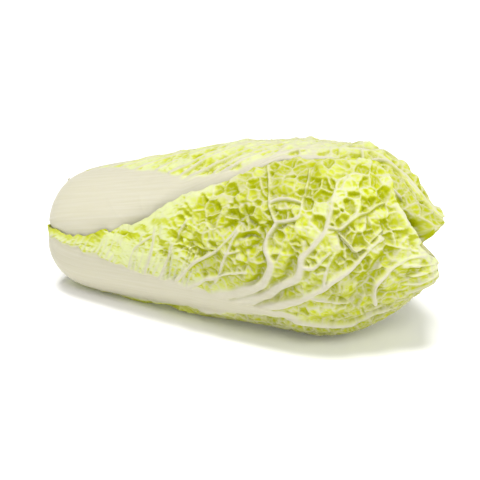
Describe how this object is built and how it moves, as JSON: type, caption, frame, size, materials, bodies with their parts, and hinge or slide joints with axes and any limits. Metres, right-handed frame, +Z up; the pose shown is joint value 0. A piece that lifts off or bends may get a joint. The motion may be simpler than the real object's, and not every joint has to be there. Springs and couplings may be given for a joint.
{
  "type": "napa cabbage",
  "caption": "Whole napa cabbage head lying on its side: crinkled pale green leaves on broad white midribs, wrapped round a packed heart, with a cut stem end.",
  "frame": {"origin": "on the resting plane, under the middle of the head's bounding box", "axes": "+X along the head from the cut stem to the leaf tips, +Z up, -Y towards the front leaf"},
  "size_m": [0.3037, 0.14, 0.1385],
  "materials": {
    "outer_leaf": "pale yellow-green crinkled leaf with raised cream-white veins, satin",
    "inner_leaf": "paler yellow-green crinkled leaf with cream veins, satin",
    "heart": "pale yellow packed leaf tips, satin",
    "stem": "cut stem flesh, off-white and slightly browned, matt"
  },
  "bodies": {
    "root": {"stem_butt": "stem", "heart": "heart", "front_leaf": "outer_leaf", "back_leaf": "outer_leaf", "top_leaf": "outer_leaf", "underside_leaf": "outer_leaf", "back_upper_leaf": "outer_leaf", "inner_leaf_1": "inner_leaf", "inner_leaf_2": "inner_leaf", "inner_leaf_3": "inner_leaf", "inner_leaf_4": "inner_leaf", "inner_leaf_5": "inner_leaf"}
  },
  "joints": []
}
